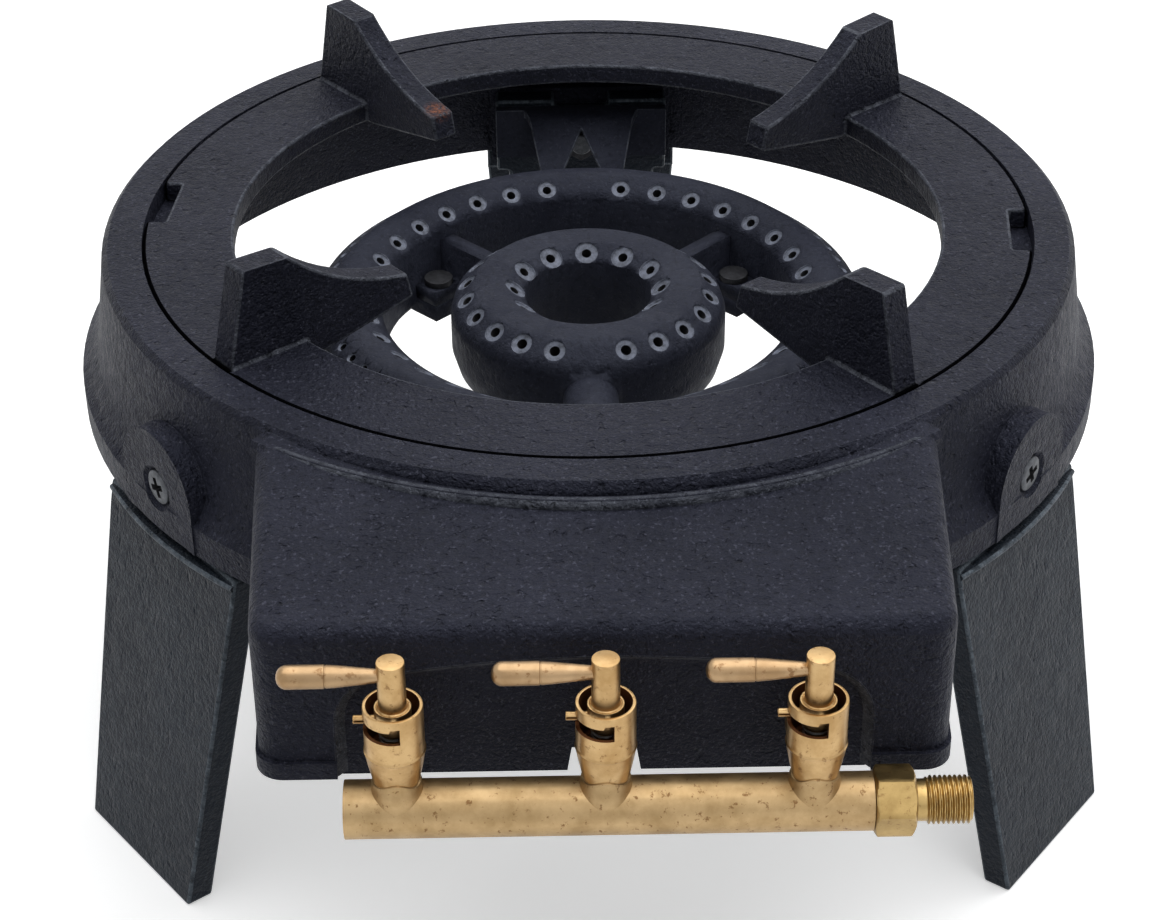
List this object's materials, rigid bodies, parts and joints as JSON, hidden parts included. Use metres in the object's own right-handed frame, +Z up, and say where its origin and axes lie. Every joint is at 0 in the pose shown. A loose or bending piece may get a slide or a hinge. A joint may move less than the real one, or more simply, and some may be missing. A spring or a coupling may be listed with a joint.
{
  "type": "gas wok range",
  "caption": "Cast-iron gas wok range with splayed legs, a round body with a front box, a lift-off pan support with raised prongs, ring burners and brass push-and-turn taps on a manifold.",
  "frame": {"origin": "on the floor, under the middle of the bounding box", "axes": "+Z up, the taps face -Y, +X towards the gas inlet; the casting's own axis is parallel to Z"},
  "size_m": [0.336, 0.4273, 0.204],
  "materials": {
    "body_iron": "rough cast, dark blue-black",
    "burner_iron": "smooth cast, matt",
    "brass": "satin, handled",
    "steel": "dull zinc"
  },
  "bodies": {
    "base": {"cast_body": "body_iron", "leg_front_left": "body_iron", "leg_front_right": "body_iron", "leg_rear": "body_iron", "leg_screws": "steel", "leg_nuts": "steel", "rear_bracket": "steel", "ring_burner": "burner_iron", "centre_burner": "burner_iron", "arm_screws": "steel", "manifold_tube": "brass", "manifold_plug": "brass", "gas_inlet": "brass", "jets": "brass", "tap_body_left": "brass", "tap_body_centre": "brass", "tap_body_right": "brass"},
    "pan_support": {"pan_support": "body_iron"},
    "valve_left": {"tap_plug_left": "brass", "tap_spring_left": "steel"},
    "knob_left": {"tap_stem_left": "brass", "tap_pin_left": "steel", "tap_handle_left": "brass"},
    "valve_centre": {"tap_plug_centre": "brass", "tap_spring_centre": "steel"},
    "knob_centre": {"tap_stem_centre": "brass", "tap_pin_centre": "steel", "tap_handle_centre": "brass"},
    "valve_right": {"tap_plug_right": "brass", "tap_spring_right": "steel"},
    "knob_right": {"tap_stem_right": "brass", "tap_pin_right": "steel", "tap_handle_right": "brass"}
  },
  "joints": [
    {"name": "pan_support_lift", "type": "slide", "parent": "base", "child": "pan_support", "axis": [0, 0, 1], "range_m": [0, 0.12]},
    {"name": "turn_left", "type": "hinge", "parent": "base", "child": "valve_left", "pos_m": [-0.0554, -0.2042, 0.1529], "axis": [0, 0, 1], "range_deg": [0, 95]},
    {"name": "push_left", "type": "slide", "parent": "valve_left", "child": "knob_left", "axis": [0, 0, -1], "range_m": [0, 0.0014], "stiffness_N_per_m": 1460, "springref_m": -0.003, "deforming": ["tap_spring_left"]},
    {"name": "turn_centre", "type": "hinge", "parent": "base", "child": "valve_centre", "pos_m": [0, -0.2042, 0.1529], "axis": [0, 0, 1], "range_deg": [0, 95]},
    {"name": "push_centre", "type": "slide", "parent": "valve_centre", "child": "knob_centre", "axis": [0, 0, -1], "range_m": [0, 0.0014], "stiffness_N_per_m": 1460, "springref_m": -0.003, "deforming": ["tap_spring_centre"]},
    {"name": "turn_right", "type": "hinge", "parent": "base", "child": "valve_right", "pos_m": [0.0554, -0.2042, 0.1529], "axis": [0, 0, 1], "range_deg": [0, 95]},
    {"name": "push_right", "type": "slide", "parent": "valve_right", "child": "knob_right", "axis": [0, 0, -1], "range_m": [0, 0.0014], "stiffness_N_per_m": 1460, "springref_m": -0.003, "deforming": ["tap_spring_right"]}
  ]
}
